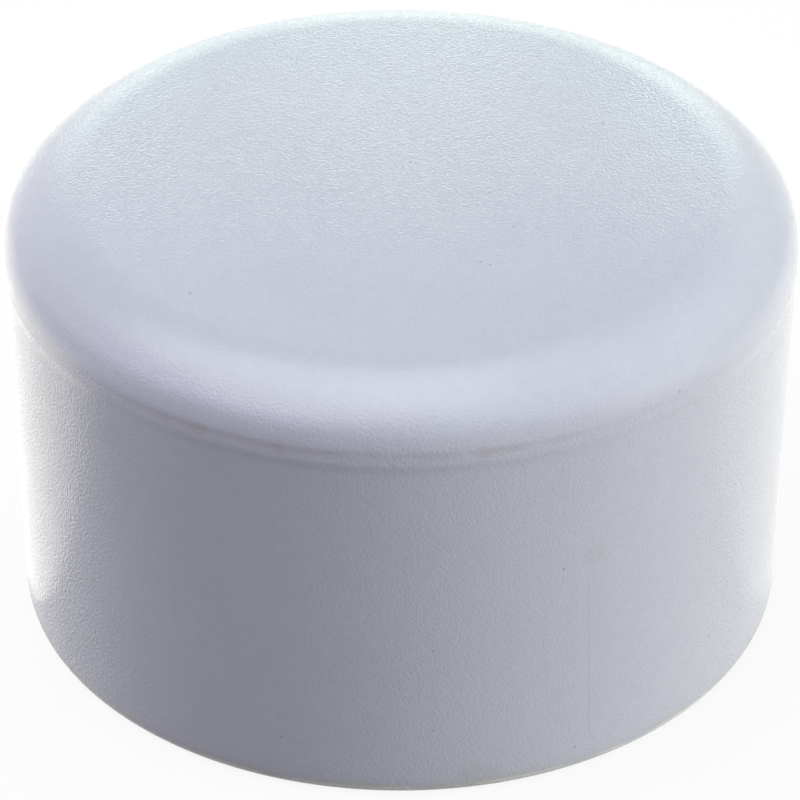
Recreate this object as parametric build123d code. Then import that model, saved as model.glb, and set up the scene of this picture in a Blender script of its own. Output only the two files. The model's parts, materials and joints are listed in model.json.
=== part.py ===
from build123d import *
from math import cos, radians, sin, tan
import os

# End cap for a plastic pressure pipe, moulded in one piece.
# It stands on its mouth: the rim lies on z = 0 and the closed end faces up. All lengths are in mm.

# The pipe, and the welding socket that takes it
pipe_diameter = 32.0        # outside of the pipe
weld_allowance = 0.6        # the cold socket is this much narrower than the pipe, and melts onto it
socket_depth = 18.1         # from the rim to the ledge that stops the pipe
lead_in = 1.0               # bevel that guides the heating tool and the pipe into the mouth
ledge_width = 3.2           # the ledge covers the end of the pipe wall
ledge_bevel = 0.3           # on the inner edge of the ledge

# The shallow recess behind the ledge
recess_depth = 1.8          # straight part of its wall
dome_rise = 0.6             # the end of the water space arches up by this much

# The walls and the outside
side_wall = 5.8             # around the socket, where the cap is widest
end_wall = 4.9              # over the middle of the dome
upper_arc = 5.4             # soft shoulder: radius of its wide arc, next to the flat closed end
lower_arc = 2.4             # and of the tighter arc below, which turns down into the wall
arc_turn = 45.0             # degrees, slope of the shoulder where the two arcs meet
parting_drop = 0.85         # the two halves of the mould meet this far below the shoulder
parting_step = 0.06         # the closed end stands this much proud of the wall on the parting line
wall_draft = 1.0            # degrees, the wall narrows from the parting line to the rim
crown_draft = 2.5           # degrees, above the parting line it narrows the other way
foot_radius = 0.7           # outer edge of the rim

# Radii that follow from these
socket_radius = (pipe_diameter - weld_allowance) / 2
bore_radius = socket_radius - ledge_width
crown_radius = socket_radius + side_wall
wall_top_radius = crown_radius - parting_step

# Heights that follow from these
recess_top = socket_depth + recess_depth
dome_top = recess_top + dome_rise
height = dome_top + end_wall
shoulder_fall = (upper_arc * (1 - cos(radians(arc_turn)))
                 + lower_arc * (cos(radians(arc_turn)) - sin(radians(crown_draft))))
parting_height = height - shoulder_fall - parting_drop


def rounded(section, place, radius):
    """The section with its corner at place, given as (radius, height), rounded."""
    corner = section.vertices().sort_by_distance(Vector(*place))[0]
    return fillet(corner, radius)


def turned(section):
    """The solid that a section drawn as (radius, height) sweeps around the Z axis."""
    return revolve(Plane.XZ * section, Axis.Z)


def on_arc(centre, radius, slope):
    """The point of an arc, as (radius, height), where the surface slopes down by so many degrees."""
    return (centre[0] + radius * sin(radians(slope)), centre[1] + radius * cos(radians(slope)))


def shoulder():
    """The two arcs of the soft shoulder, from the flat closed end down to the crown's short wall."""
    end_slope = 90 - crown_draft
    end = (crown_radius - parting_drop * tan(radians(crown_draft)), parting_height + parting_drop)
    lower_centre = on_arc(end, -lower_arc, end_slope)
    meeting = on_arc(lower_centre, lower_arc, arc_turn)
    upper_centre = on_arc(meeting, -upper_arc, arc_turn)
    start = (upper_centre[0], height)
    upper = ThreePointArc(start, on_arc(upper_centre, upper_arc, arc_turn / 2), meeting)
    lower = ThreePointArc(meeting, on_arc(lower_centre, lower_arc, (arc_turn + end_slope) / 2), end)
    return start, end, upper.edges() + lower.edges()


def outside():
    """Closed block with the drafted wall, the step on the parting line and the soft shoulder."""
    rim_corner = (wall_top_radius - parting_height * tan(radians(wall_draft)), 0)
    start, end, arcs = shoulder()
    walls = Polyline(
        start,
        (0, height),
        (0, 0),
        rim_corner,
        (wall_top_radius, parting_height),
        (crown_radius, parting_height),
        end,
    )
    section = make_face(walls.edges() + arcs)
    return turned(rounded(section, rim_corner, foot_radius))


def dome():
    """Arc of the domed end, from the wall of the recess to the axis."""
    sphere_radius = (bore_radius ** 2 + dome_rise ** 2) / (2 * dome_rise)
    half_way = bore_radius / 2
    drop = sphere_radius - (sphere_radius ** 2 - half_way ** 2) ** 0.5
    return ThreePointArc((bore_radius, recess_top), (half_way, dome_top - drop), (0, dome_top))


def water_space():
    """Everything that is open inside: lead-in, socket, ledge and the domed recess."""
    walls = Polyline(
        (0, dome_top),
        (0, 0),
        (socket_radius + lead_in, 0),
        (socket_radius, lead_in),
        (socket_radius, socket_depth),
        (bore_radius + ledge_bevel, socket_depth),
        (bore_radius, socket_depth + ledge_bevel),
        (bore_radius, recess_top),
    )
    return turned(make_face(walls.edges() + dome().edges()))


end_cap = outside() - water_space()

os.makedirs("parts", exist_ok=True)
export_step(end_cap, "parts/end_cap.step")
print("end_cap", round(2 * crown_radius, 2), "wide,", round(height, 2), "high, parting line at",
      round(parting_height, 2), "volume", round(end_cap.volume), "mm3")
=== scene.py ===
import bpy
import json
from math import asin, cos, pi, radians, sin, sqrt, tan
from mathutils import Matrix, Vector


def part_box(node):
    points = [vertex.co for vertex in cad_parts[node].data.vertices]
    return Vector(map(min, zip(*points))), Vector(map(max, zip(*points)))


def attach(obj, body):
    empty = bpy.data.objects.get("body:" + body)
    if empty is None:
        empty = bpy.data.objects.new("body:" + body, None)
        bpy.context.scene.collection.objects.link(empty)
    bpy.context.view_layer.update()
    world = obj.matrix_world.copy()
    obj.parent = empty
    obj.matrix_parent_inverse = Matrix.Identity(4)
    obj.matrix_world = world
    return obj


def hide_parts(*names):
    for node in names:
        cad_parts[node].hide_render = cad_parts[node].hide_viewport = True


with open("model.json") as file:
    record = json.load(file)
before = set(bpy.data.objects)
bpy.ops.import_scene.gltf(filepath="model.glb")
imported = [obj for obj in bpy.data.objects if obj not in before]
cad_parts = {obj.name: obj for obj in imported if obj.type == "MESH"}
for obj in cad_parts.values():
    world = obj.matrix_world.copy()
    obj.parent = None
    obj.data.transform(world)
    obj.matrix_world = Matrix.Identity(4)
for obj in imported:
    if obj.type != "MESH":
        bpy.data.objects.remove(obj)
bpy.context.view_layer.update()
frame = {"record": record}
mm = 0.001

capLow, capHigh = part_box("end_cap")
socketMount = next(m for m in frame["record"]["mounts"] if m["name"] == "socket")
print("frame loaded, cap", [round(v / mm, 2) for v in capHigh - capLow], "mm")


# the cap's section, drawn as (radius, height) and spun about Z

cap = {
    "crownRadius": capHigh.x,           # widest place, on the parting line
    "height": capHigh.z,
    "upperArc": 5.4 * mm,               # soft shoulder, wide above and tighter below
    "lowerArc": 2.4 * mm,
    "arcTurn": radians(45),
    "arcSteps": 18,
    "crownDraft": radians(2.5),
    "partingDrop": 0.85 * mm,           # parting line below the shoulder
    "partingStep": 0.06 * mm,
    "stepReach": 0.7 * mm,              # the step on it is worn soft over this height
    "stepSteps": 8,
    "grooveWidth": 0.2 * mm,            # hairline at the foot of the shoulder, where grime sits
    "grooveDepth": 0.002 * mm,
    "edgeBreak": 0.02 * mm,
    "wallDraft": radians(1.0),
    "wallSteps": 20,
    "footRadius": 0.7 * mm,
    "footSteps": 8,
    "leadIn": 1.0 * mm,
    "socketRadius": socketMount["dims"]["r_mm"] * mm,
    "socketDepth": socketMount["pos_m"][2] + socketMount["dims"]["length_mm"] * mm / 2,
    "socketSteps": 8,
    "ledgeBevel": 0.3 * mm,
    "boreRadius": 12.5 * mm,
    "recessDepth": 1.8 * mm,
    "domeRise": 0.6 * mm,
    "domeSteps": 8,
    "topSteps": 8,
    "edgeSoftness": 0.08 * mm,          # small break on the inner edges
    "spinSteps": 320,
    "mergeGap": 0.0005 * mm,
    "smoothAngle": radians(35),
}


def arcPoints(centre, radius, fromAngle, toAngle, steps):
    points = []
    for i in range(steps + 1):
        angle = fromAngle + (toAngle - fromAngle) * i / steps
        points.append((centre[0] + radius * cos(angle), centre[1] + radius * sin(angle)))
    return points


def linePoints(start, end, steps):
    points = []
    for i in range(1, steps + 1):
        share = i / steps
        points.append((start[0] + (end[0] - start[0]) * share, start[1] + (end[1] - start[1]) * share))
    return points


def shoulderFoot():
    upper, lower, turn, draft = cap["upperArc"], cap["lowerArc"], cap["arcTurn"], cap["crownDraft"]
    fall = upper * (1 - cos(turn)) + lower * (cos(turn) - sin(draft))
    return cap["crownRadius"] - cap["partingDrop"] * tan(draft), cap["height"] - fall


def crownSection():
    upper, lower, turn, draft = cap["upperArc"], cap["lowerArc"], cap["arcTurn"], cap["crownDraft"]
    foot = shoulderFoot()
    partingHeight = foot[1] - cap["partingDrop"]
    lowerCentre = (foot[0] - lower * cos(draft), foot[1] - lower * sin(draft))
    upperCentre = (lowerCentre[0] - (upper - lower) * sin(turn), cap["height"] - upper)
    top = linePoints((0, cap["height"]), (upperCentre[0], cap["height"]), cap["topSteps"])
    shoulder = arcPoints(upperCentre, upper, pi / 2, pi / 2 - turn, cap["arcSteps"])
    shoulder += arcPoints(lowerCentre, lower, pi / 2 - turn, draft, cap["arcSteps"])[1:]
    edge = cap["edgeBreak"]
    groove = [
        (foot[0], foot[1] - edge),
        (foot[0] - cap["grooveDepth"], foot[1] - cap["grooveWidth"] / 2),
        (foot[0] + (cap["grooveWidth"] - edge) * tan(draft), foot[1] - cap["grooveWidth"]),
    ]
    lip = []
    for i in range(cap["stepSteps"] + 1):
        share = i / cap["stepSteps"]
        drop = cap["partingStep"] * share * share * (3 - 2 * share)
        lip.append((cap["crownRadius"] - drop, partingHeight + cap["stepReach"] / 3 - cap["stepReach"] * share))
    return [(0, cap["height"])] + top[:-1] + shoulder + groove + lip, lip[-1]


def wallSection(start):
    lean = cap["wallDraft"]
    rimRadius = start[0] - start[1] * tan(lean)             # the wall's own line carried down to the floor
    centre = (rimRadius - cap["footRadius"] * tan((pi / 2 - lean) / 2), cap["footRadius"])
    foot = arcPoints(centre, cap["footRadius"], -lean, -pi / 2, cap["footSteps"])
    return linePoints(start, foot[0], cap["wallSteps"])[:-1] + foot


def insideSection():
    mouth = cap["socketRadius"] + cap["leadIn"]
    soft = cap["edgeSoftness"]
    recessTop = cap["socketDepth"] + cap["recessDepth"]
    sphere = (cap["boreRadius"] ** 2 + cap["domeRise"] ** 2) / (2 * cap["domeRise"])
    domeCentre = (0, recessTop + cap["domeRise"] - sphere)
    domeEdge = asin(cap["boreRadius"] / sphere)
    points = [
        (mouth + soft, 0),
        (mouth - soft / 2, soft / 2),
        (cap["socketRadius"] + soft / 2, cap["leadIn"] - soft / 2),
        (cap["socketRadius"], cap["leadIn"] + soft),
    ]
    points += linePoints(points[-1], (cap["socketRadius"], cap["socketDepth"] - soft), cap["socketSteps"])
    points += [
        (cap["socketRadius"] - soft, cap["socketDepth"]),
        (cap["boreRadius"] + cap["ledgeBevel"], cap["socketDepth"]),
        (cap["boreRadius"], cap["socketDepth"] + cap["ledgeBevel"]),
        (cap["boreRadius"], recessTop - soft),
    ]
    dome = arcPoints(domeCentre, sphere, pi / 2 - domeEdge, pi / 2, cap["domeSteps"])
    return points + dome[1:]


def drawSection(points):
    bpy.ops.object.select_all(action="DESELECT")
    bpy.ops.mesh.primitive_plane_add(size=mm)
    bpy.ops.object.mode_set(mode="EDIT")
    bpy.ops.mesh.merge(type="CENTER")                       # the plane shrinks to one point, the pen
    pen = Vector((0, 0, 0))
    for i, (radius, height) in enumerate(points):
        step = Vector((radius, 0, height)) - pen
        if i == 0:
            bpy.ops.transform.translate(value=step)
        else:
            bpy.ops.mesh.extrude_region_move(TRANSFORM_OT_translate={"value": step})
        pen += step
    return bpy.context.object


def buildCap():
    crown, wallStart = crownSection()
    outline = crown + wallSection(wallStart) + insideSection()
    piece = drawSection(outline)
    piece.name = piece.data.name = "cap_shell"
    bpy.ops.mesh.select_all(action="SELECT")
    bpy.ops.mesh.spin(steps=cap["spinSteps"], angle=2 * pi, center=(0, 0, 0), axis=(0, 0, 1))
    bpy.ops.mesh.select_all(action="SELECT")
    bpy.ops.mesh.remove_doubles(threshold=cap["mergeGap"])
    bpy.ops.mesh.normals_make_consistent(inside=False)
    bpy.ops.object.mode_set(mode="OBJECT")
    bpy.ops.object.shade_smooth_by_angle(angle=cap["smoothAngle"])
    print("cap spun:", len(piece.data.vertices), "points,", len(piece.data.polygons), "faces")
    return piece


# small helpers for the materials' nodes

def addNode(tree, kind, inputs, output, settings=None):
    node = tree.nodes.new(kind)
    for key, value in (settings or {}).items():
        setattr(node, key, value)
    for key, value in inputs.items():
        if isinstance(value, bpy.types.NodeSocket):
            tree.links.new(value, node.inputs[key])
        else:
            node.inputs[key].default_value = value
    return node.outputs[output]


def addMath(tree, operation, first, second):
    return addNode(tree, "ShaderNodeMath", {0: first, 1: second}, 0, {"operation": operation})


def addNoise(tree, place, size, detail):
    return addNode(tree, "ShaderNodeTexNoise", {"Vector": place, "Scale": 1 / size, "Detail": detail}, "Fac")


def addRange(tree, value, fromLow, fromHigh, toLow, toHigh):
    inputs = {"Value": value, "From Min": fromLow, "From Max": fromHigh, "To Min": toLow, "To Max": toHigh}
    return addNode(tree, "ShaderNodeMapRange", inputs, "Result", {"interpolation_type": "SMOOTHSTEP"})


def addBlend(tree, share, first, second):
    return addNode(tree, "ShaderNodeMix", {0: share, 6: first, 7: second}, 2, {"data_type": "RGBA"})


def addSpot(tree, place, centre, size, strength):
    away = addNode(tree, "ShaderNodeVectorMath", {0: place, 1: centre}, "Value", {"operation": "DISTANCE"})
    return addRange(tree, away, size * 0.45, size, strength, 0)


def addSpots(tree, place, spots):
    total = None
    for centre, size, strength in spots:
        spot = addSpot(tree, place, centre, size, strength)
        total = spot if total is None else addMath(tree, "MAXIMUM", total, spot)
    return total


# moulded plastic: fine grain outside, smooth in the socket

plastic = {
    "colour": (0.665, 0.69, 0.79, 1),
    "palerColour": (0.69, 0.715, 0.81, 1),
    "cloudSize": 7 * mm,
    "fleckSize": 0.7 * mm,
    "toneSpan": (0.7, 1.3),             # clouds and flecks added up
    "pitSpan": (0.28, 0.55),
    "pitShade": 0.04,                   # painted shade: how much darker the pits of the grain are painted
    "roughness": (0.32, 0.4),
    "patchSize": 1.6 * mm,
    "patchSpan": (0.3, 0.7),
    "grainSize": 0.14 * mm,
    "grainDetail": 0.5,
    "grainDepth": 0.045 * mm,           # as the gloss shows it
    "grainFade": (-15 * mm, 6 * mm),    # from the front to the back
    "grainShare": (0.5, 1.1),
    "bodyDepth": 0.02 * mm,             # light that scatters inside the plastic hides most of it
    "bodyFade": (-17 * mm, -9 * mm),    # the front of the wall shows less of it than the sides
    "bodyTop": (20 * mm, 23 * mm),
    "bodyShare": (1.1, 4),
    "bodyGloss": 0.1,
    "coatRoughness": 0.2,
    "coatIndex": 1.5,
    "socketTone": (0.35, 0.65),
    "socketRoughness": (0.27, 0.34),
    "drawSize": 0.5 * mm,               # faint marks of the core pulled out of the socket
    "drawSpan": (0.3, 0.7),
    "drawStretch": 0.08,
    "drawDepth": 0.003 * mm,
}

# dirt and small faults, with painted shade and a painted highlight at the foot, placed as (angle from the front,
# height) on the wall and (x, y) on the closed end, in mm
marks = {
    "grimeColour": (0.30, 0.24, 0.19, 1),
    "rustColour": (0.50, 0.33, 0.17, 1),
    "speckColour": (0.10, 0.095, 0.09, 1),
    "dustColour": (0.40, 0.39, 0.36, 1),
    # grey-green of the painted shade at the foot
    "footShadeColour": (0.60, 0.62, 0.54, 1),
    # pale colour of the painted highlight at the foot
    "footHighlightColour": (0.92, 0.92, 0.90, 1),
    "coreShare": 0.3,                   # a line is at full strength over this share of its half width
    "lineHalf": 0.34 * mm,
    "lineAngle": -8,                    # the hairline is dirtiest about here
    "lineReach": (8 * mm, 15 * mm),
    "lineStrength": (0.15, 0.02),
    "linePatch": 1.8 * mm,
    "linePatchSpan": (0.36, 0.62, 0.2, 1),
    "lineRough": 0.15,
    # painted shade: the foot is darkened toward the floor, patchy
    "footShadeHeight": (0.35 * mm, 1.2 * mm),
    "footShadeStrength": 0.8,
    "footShadePatch": 2.5 * mm,
    "footShadePatchSpan": (0.3, 0.65, 0.4, 1),
    "rimHeight": (0.02 * mm, 0.12 * mm),
    "rimShare": 0.2,                    # the painted shade is thin on the flat rim
    "footHighlightHeight": 0.52 * mm,            # painted highlight, a pale line above the painted shade
    "footHighlightHalf": (0.06 * mm, 0.14 * mm),
    "footHighlightPatch": 4 * mm,
    "footHighlightPatchSpan": (0.35, 0.55, 0.3, 1),
    "scratchAngle": 27.8,
    "scratchSpan": (2.4 * mm, 13.1 * mm),
    "scratchLean": 0.042,
    "scratchHalf": 0.09 * mm,
    "scratchStrength": 0.11,
    "wobbleSize": 0.3 * mm,             # breaks up the edges of the spots
    "wobbleReach": 0.12 * mm,
    "smudges": [(-43.7, 19.2, 1.3), (28.2, 14.2, 0.8), (10.5, 1.3, 1.1), (12.6, 1.1, 0.8), (171, 9.0, 1.5)],
    "smudgeStrength": 0.1,
    "rustSpots": [(-28.3, 22.05), (-16.4, 22.1), (11.3, 22.1)],
    "rustSize": 0.55 * mm,
    "rustStrength": 0.14,
    "speckSize": 0.1 * mm,
    "topStrength": 0.4,
    "wallStrength": 0.35,
    "topSpecks": [
        (-10.8, -11.4), (-4.4, 6.2), (-3.1, 9.8), (-2.4, 13.7), (1.8, 14.0), (11.1, 5.7),
        (0.6, 1.6), (4.8, -1.5), (6.0, -4.9), (4.2, -8.4), (4.7, -8.7),
    ],
    "wallSpecks": [
        (-45.2, 6.2), (-47.0, 3.8), (-17.2, 3.3), (-3.3, 0.9), (23.3, 13.8), (60.9, 4.3),
        (51.9, 4.5), (26.0, 1.6), (4.6, 9.7), (4.7, 4.4), (-76.1, 23.7), (41.6, 22.4),
    ],
    "backSpecks": [
        (118, 7.1), (131, 15.6), (147, 2.9), (166, 11.2), (-171, 18.3),
        (-154, 6.4), (-133, 13.0), (-112, 4.2), (99, 12.4), (-98, 17.0),
    ],
}


def onWall(angle, height):
    turn = radians(angle)
    radius = capHigh.x - cap["partingStep"] - max(0, shoulderFoot()[1] - height) * tan(cap["wallDraft"])
    return Vector((radius * sin(turn), -radius * cos(turn), height))


def startMaterial(name):
    material = bpy.data.materials.new(name)
    material.use_nodes = True
    tree = material.node_tree
    place = tree.nodes.new("ShaderNodeTexCoord").outputs["Object"]
    return material, tree, tree.nodes["Principled BSDF"], place


def patchy(tree, place, share, size, span, detail):
    return addMath(tree, "MULTIPLY", share, addRange(tree, addNoise(tree, place, size, detail), *span))


def awayFrom(tree, value, middle):
    return addMath(tree, "ABSOLUTE", addMath(tree, "SUBTRACT", value, middle), 0)


def bumpOf(tree, grain, share, depth):
    relief = addMath(tree, "MULTIPLY", grain, share)
    return addNode(tree, "ShaderNodeBump", {"Height": relief, "Distance": depth}, "Normal")


def addGrime(tree, place, parts):
    # along the hairline, thick at the front and patchy round the rest
    lineHeight = shoulderFoot()[1] - cap["grooveWidth"] / 2
    off = awayFrom(tree, parts["Z"], lineHeight)
    line = addRange(tree, off, marks["lineHalf"] * marks["coreShare"], marks["lineHalf"], 1, 0)
    dirtiest = onWall(marks["lineAngle"], lineHeight)
    away = addNode(tree, "ShaderNodeVectorMath", {0: place, 1: dirtiest}, "Value", {"operation": "DISTANCE"})
    near = addRange(tree, away, *marks["lineReach"], *marks["lineStrength"])
    grime = addMath(tree, "MULTIPLY", line, near)
    return patchy(tree, place, grime, marks["linePatch"], marks["linePatchSpan"], 2)


def addFoot(tree, place, parts, colour):
    # painted shade: the foot is darkened grey-green toward the floor, and a pale line above it is a painted
    # highlight
    footShade = addRange(tree, parts["Z"], *marks["footShadeHeight"], marks["footShadeStrength"], 0)
    footShade = patchy(tree, place, footShade, marks["footShadePatch"], marks["footShadePatchSpan"], 3)
    thin = addRange(tree, parts["Z"], *marks["rimHeight"], marks["rimShare"], 1)
    colour = addBlend(tree, addMath(tree, "MULTIPLY", footShade, thin), colour, marks["footShadeColour"])
    # painted highlight: a pale patchy line above the foot's painted shade
    edge = addRange(tree, awayFrom(tree, parts["Z"], marks["footHighlightHeight"]), *marks["footHighlightHalf"], 1, 0)
    edge = patchy(tree, place, edge, marks["footHighlightPatch"], marks["footHighlightPatchSpan"], 2)
    return addBlend(tree, edge, colour, marks["footHighlightColour"])


def addScratch(tree, place, parts, colour):
    # faint and upright, on the front of the wall
    turn = radians(marks["scratchAngle"])
    low, high = marks["scratchSpan"]
    across = (cos(turn), sin(turn), marks["scratchLean"])
    across = addNode(tree, "ShaderNodeVectorMath", {0: place, 1: across}, "Value", {"operation": "DOT_PRODUCT"})
    side = awayFrom(tree, across, (low + high) / 2 * marks["scratchLean"])
    half = marks["scratchHalf"]
    scratch = addRange(tree, side, half * marks["coreShare"], half, marks["scratchStrength"], 0)
    ends = [
        addRange(tree, parts["Z"], low - mm, low, 0, 1),
        addRange(tree, parts["Z"], high - mm, high, 1, 0),
        addRange(tree, parts["Y"], -cap["socketRadius"], 0, 1, 0),
    ]
    for end in ends:
        scratch = addMath(tree, "MULTIPLY", scratch, end)
    return addBlend(tree, scratch, colour, marks["dustColour"])


def addFaults(tree, place, colour):
    # smudges, rust-coloured spots and specks
    reach = marks["wobbleReach"]
    noise = {"Vector": place, "Scale": 1 / marks["wobbleSize"], "Detail": 2}
    wobble = addNode(tree, "ShaderNodeTexNoise", noise, "Color")
    wobble = addNode(tree, "ShaderNodeVectorMath", {0: wobble, "Scale": reach}, "Vector", {"operation": "SCALE"})
    ragged = addNode(tree, "ShaderNodeVectorMath", {0: place, 1: wobble}, "Vector", {"operation": "ADD"})
    shift = Vector((reach, reach, reach)) / 2               # the wobble's own mean
    smudges, rust, specks = [], [], []
    for angle, height, size in marks["smudges"]:
        smudges.append((onWall(angle, height * mm), size * mm, marks["smudgeStrength"]))
    for angle, height in marks["rustSpots"]:
        rust.append((onWall(angle, height * mm) + shift, marks["rustSize"], marks["rustStrength"]))
    for x, y in marks["topSpecks"]:
        onTop = Vector((x * mm, y * mm, cap["height"]))
        specks.append((onTop + shift, marks["speckSize"], marks["topStrength"]))
    for angle, height in marks["wallSpecks"] + marks["backSpecks"]:
        specks.append((onWall(angle, height * mm) + shift, marks["speckSize"], marks["wallStrength"]))
    colour = addBlend(tree, addSpots(tree, place, smudges), colour, marks["dustColour"])
    colour = addBlend(tree, addSpots(tree, ragged, rust), colour, marks["rustColour"])
    return addBlend(tree, addSpots(tree, ragged, specks), colour, marks["speckColour"])


def grainedPlastic():
    material, tree, shader, place = startMaterial("cap_grained")
    parts = addNode(tree, "ShaderNodeSeparateXYZ", {"Vector": place}, "Z").node.outputs

    grain = addNoise(tree, place, plastic["grainSize"], plastic["grainDetail"])
    cloud = addNoise(tree, place, plastic["cloudSize"], 3)
    fleck = addNoise(tree, place, plastic["fleckSize"], 2)
    tone = addRange(tree, addMath(tree, "ADD", cloud, fleck), *plastic["toneSpan"], 0, 1)
    colour = addBlend(tree, tone, plastic["colour"], plastic["palerColour"])
    # painted shade: the pits of the grain are darkened toward the dust colour
    pits = addRange(tree, grain, *plastic["pitSpan"], plastic["pitShade"], 0)
    colour = addBlend(tree, pits, colour, marks["dustColour"])
    grime = addGrime(tree, place, parts)
    colour = addBlend(tree, grime, colour, marks["grimeColour"])
    # painted shade and a painted highlight at the foot
    colour = addFoot(tree, place, parts, colour)
    colour = addScratch(tree, place, parts, colour)
    colour = addFaults(tree, place, colour)
    tree.links.new(colour, shader.inputs["Base Color"])

    patches = addNoise(tree, place, plastic["patchSize"], 3)
    rough = addRange(tree, patches, *plastic["patchSpan"], *plastic["roughness"])
    rough = addMath(tree, "ADD", rough, addMath(tree, "MULTIPLY", grime, marks["lineRough"]))
    tree.links.new(rough, shader.inputs["Roughness"])

    sides = addRange(tree, parts["Y"], *plastic["bodyFade"], 0, 1)
    sides = addMath(tree, "MULTIPLY", sides, addRange(tree, parts["Z"], *plastic["bodyTop"], 1, 0))
    bodyShare = addRange(tree, sides, 0, 1, *plastic["bodyShare"])
    tree.links.new(bumpOf(tree, grain, bodyShare, plastic["bodyDepth"]), shader.inputs["Normal"])
    glossShare = addRange(tree, parts["Y"], *plastic["grainFade"], *plastic["grainShare"])
    tree.links.new(bumpOf(tree, grain, glossShare, plastic["grainDepth"]), shader.inputs["Coat Normal"])
    shader.inputs["Specular IOR Level"].default_value = plastic["bodyGloss"]
    shader.inputs["Coat Weight"].default_value = 1
    shader.inputs["Coat Roughness"].default_value = plastic["coatRoughness"]
    shader.inputs["Coat IOR"].default_value = plastic["coatIndex"]
    print("grained plastic:", len(tree.nodes), "nodes")
    return material


def smoothPlastic():
    material, tree, shader, place = startMaterial("cap_smooth")
    cloud = addNoise(tree, place, plastic["cloudSize"], 3)
    tone = addRange(tree, cloud, *plastic["socketTone"], 0, 1)
    tree.links.new(addBlend(tree, tone, plastic["colour"], plastic["palerColour"]), shader.inputs["Base Color"])
    stretch = (1, 1, plastic["drawStretch"])
    stretched = addNode(tree, "ShaderNodeVectorMath", {0: place, 1: stretch}, "Vector", {"operation": "MULTIPLY"})
    drawn = addNoise(tree, stretched, plastic["drawSize"], 2)
    rough = addRange(tree, drawn, *plastic["drawSpan"], *plastic["socketRoughness"])
    tree.links.new(rough, shader.inputs["Roughness"])
    bump = addNode(tree, "ShaderNodeBump", {"Height": drawn, "Distance": plastic["drawDepth"]}, "Normal")
    tree.links.new(bump, shader.inputs["Normal"])
    print("smooth plastic:", len(tree.nodes), "nodes")
    return material


def dressCap(piece):
    piece.data.materials.append(grainedPlastic())
    piece.data.materials.append(smoothPlastic())
    innerRadius = cap["socketRadius"] + cap["leadIn"] + cap["edgeSoftness"]
    for face in piece.data.polygons:
        centre = face.center
        inside = sqrt(centre.x ** 2 + centre.y ** 2) < innerRadius and centre.z < cap["height"] - mm
        face.material_index = 1 if inside else 0
    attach(piece, "root")
    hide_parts("end_cap")
    print("cap dressed")


# floor, lamps, camera

stage = {
    "floorSize": 4.0,
    "floorColour": (0.9, 0.9, 0.9, 1),
    "bounceColour": (0.15, 0.15, 0.15, 1),  # little light comes back up onto the wall
    "whiteShare": 0.9,
    "worldLevel": 0.05,
}

# azimuth from the front, round by the right, in degrees; lengths in metres
# lamps without gloss leave no streaks; the near ones skim the closed end and bring out its grain
lamps = {
    "overhead": {
        "azimuth": -80, "elevation": 77, "distance": 0.4, "size": 0.4,
        "watts": 0.88, "colour": (0.905, 1, 0.885), "gloss": True,
    },
    "left_front": {
        "azimuth": -55, "elevation": 60, "distance": 0.4, "size": 0.5,
        "watts": 0.81, "colour": (0.85, 0.735, 1), "gloss": True,
    },
    "left_back": {
        "azimuth": -130, "elevation": 4, "distance": 0.4, "size": 0.1,
        "watts": 0.45, "colour": (1, 0.96, 0.84), "gloss": False,
    },
    "left_graze": {
        "azimuth": -148, "elevation": 4, "distance": 0.4, "size": 0.03,
        "watts": 0.5, "colour": (1, 1, 0.9), "gloss": False,
    },
    "right_graze": {
        "azimuth": 148, "elevation": 4, "distance": 0.4, "size": 0.03,
        "watts": 0.22, "colour": (0.95, 1, 0.92), "gloss": False,
    },
    "right_low": {
        "azimuth": 72, "elevation": 8, "distance": 0.4, "size": 0.25,
        "watts": 1.49, "colour": (0.99, 1, 0.96), "gloss": False,
    },
    "back": {
        "azimuth": 180, "elevation": 15, "distance": 0.12, "size": 0.06,
        "watts": 0.012, "colour": (0.8, 1, 0.85), "gloss": True,
    },
    "back_right": {
        "azimuth": 150, "elevation": 20, "distance": 0.12, "size": 0.06,
        "watts": 0.0046, "colour": (0.98, 1, 0.9), "gloss": True,
    },
    "back_left": {
        "azimuth": -150, "elevation": 20, "distance": 0.12, "size": 0.06,
        "watts": 0.0046, "colour": (0.98, 1, 0.92), "gloss": True,
    },
    "near_back": {
        "azimuth": 180, "elevation": 22.4, "distance": 0.065, "size": 0.02,
        "watts": 0.0014, "colour": (0.88, 1, 0.8), "gloss": True,
    },
    "near_right": {
        "azimuth": 155, "elevation": 22.4, "distance": 0.065, "size": 0.02,
        "watts": 0.0026, "colour": (0.79, 1, 0.85), "gloss": True,
    },
    "near_left": {
        "azimuth": -155, "elevation": 22.4, "distance": 0.065, "size": 0.02,
        "watts": 0.0021, "colour": (0.8, 1, 0.85), "gloss": True,
    },
}

# cards of light that lie beside the cap and shine up, as a lit table does; only the gloss shows them
tableColour = (1, 0.96, 0.84)
tableHeight = 0.3 * mm
tables = {
    "left_table": {"place": (-0.0623, 0.0475), "size": (0.082, 0.105), "watts": 0.022},
    "right_table": {"place": (0.0623, 0.0475), "size": (0.082, 0.105), "watts": 0.0064},
}

view = {
    "elevation": radians(34.224),
    "distance": 0.24507,
    "aimHeight": 10.985 * mm,
    "lens": 199.0,
    "nearest": 10 * mm,
}


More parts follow.
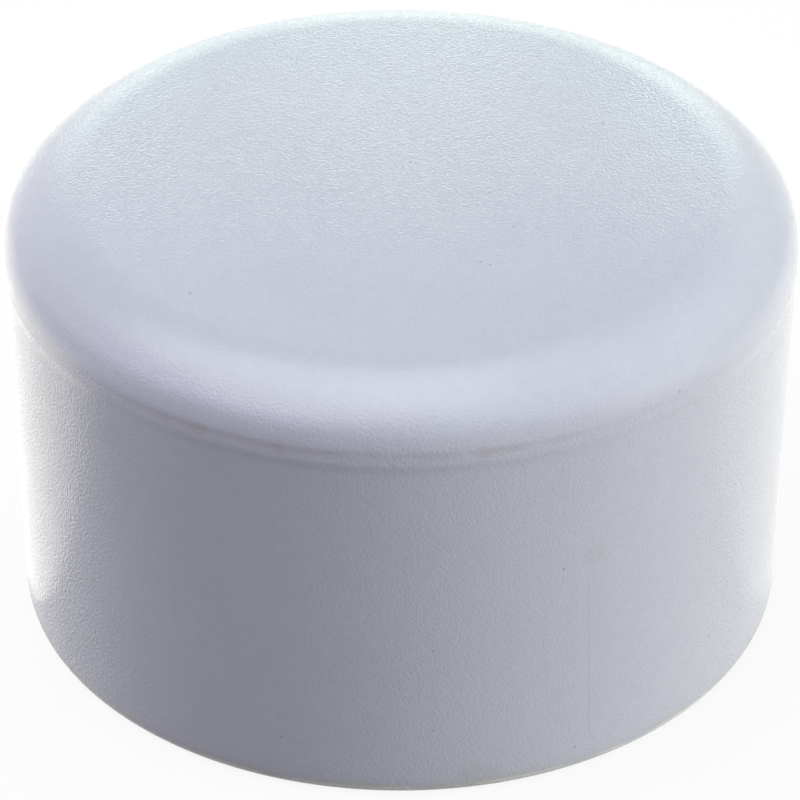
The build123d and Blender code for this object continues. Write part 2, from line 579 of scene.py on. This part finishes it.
def buildFloor():
    bpy.ops.object.select_all(action="DESELECT")
    bpy.ops.mesh.primitive_plane_add(size=stage["floorSize"])
    floor = bpy.context.object
    floor.name = "floor"
    material = bpy.data.materials.new("floor_white")
    material.use_nodes = True
    tree = material.node_tree
    tree.nodes.remove(tree.nodes["Principled BSDF"])
    bounce = addNode(tree, "ShaderNodeBsdfDiffuse", {"Color": stage["bounceColour"]}, "BSDF")
    paint = addNode(tree, "ShaderNodeBsdfDiffuse", {"Color": stage["floorColour"]}, "BSDF")
    white = addNode(tree, "ShaderNodeEmission", {"Strength": 1}, "Emission")
    rays = tree.nodes.new("ShaderNodeLightPath").outputs
    seen = addMath(tree, "ADD", rays["Is Camera Ray"], rays["Is Glossy Ray"])
    seen = addMath(tree, "ADD", seen, rays["Is Transmission Ray"])
    layers = {0: stage["whiteShare"], 1: paint, 2: white}   # the paint keeps the shadow
    backdrop = addNode(tree, "ShaderNodeMixShader", layers, "Shader")
    surface = addNode(tree, "ShaderNodeMixShader", {0: seen, 1: bounce, 2: backdrop}, "Shader")
    tree.links.new(surface, tree.nodes["Material Output"].inputs["Surface"])
    floor.data.materials.append(material)


def addLamp(name, place, towards, size, watts, colour, gloss):
    bpy.ops.object.light_add(type="AREA", location=place)
    light = bpy.context.object
    light.name = name
    light.data.shape = "RECTANGLE"
    light.data.size, light.data.size_y = size
    light.data.energy = watts
    light.data.color = colour
    light.visible_camera = False
    light.visible_glossy = gloss
    light.rotation_euler = (-towards).to_track_quat("Z", "Y").to_euler()


def buildLamps():
    aim = Vector((0, 0, cap["height"] / 2))
    for name, lamp in lamps.items():
        azimuth, elevation = radians(lamp["azimuth"]), radians(lamp["elevation"])
        away = Vector((sin(azimuth) * cos(elevation), -cos(azimuth) * cos(elevation), sin(elevation)))
        size = (lamp["size"], lamp["size"])
        addLamp(name, aim + away * lamp["distance"], -away, size, lamp["watts"], lamp["colour"], lamp["gloss"])
    for name, table in tables.items():
        place = (*table["place"], tableHeight)
        addLamp(name, place, Vector((0, 0, 1)), table["size"], table["watts"], tableColour, True)
        bpy.context.object.visible_diffuse = False
    world = bpy.data.worlds.new("studio")
    bpy.context.scene.world = world
    world.use_nodes = True
    background = world.node_tree.nodes["Background"]
    background.inputs["Color"].default_value = (1, 1, 1, 1)
    background.inputs["Strength"].default_value = stage["worldLevel"]
    print("lamps set:", len(lamps) + len(tables))


def buildCamera():
    aim = Vector((0, 0, view["aimHeight"]))
    towards = Vector((0, -cos(view["elevation"]), sin(view["elevation"])))
    bpy.ops.object.camera_add(location=aim + towards * view["distance"])
    camera = bpy.context.object
    camera.name = "photo_camera"
    camera.data.lens = view["lens"]
    camera.data.clip_start = view["nearest"]
    camera.rotation_euler = towards.to_track_quat("Z", "Y").to_euler()
    bpy.context.scene.camera = camera


shell = buildCap()
dressCap(shell)
buildFloor()
buildLamps()
buildCamera()
bpy.context.scene.view_settings.view_transform = "Standard"
print("stage set")
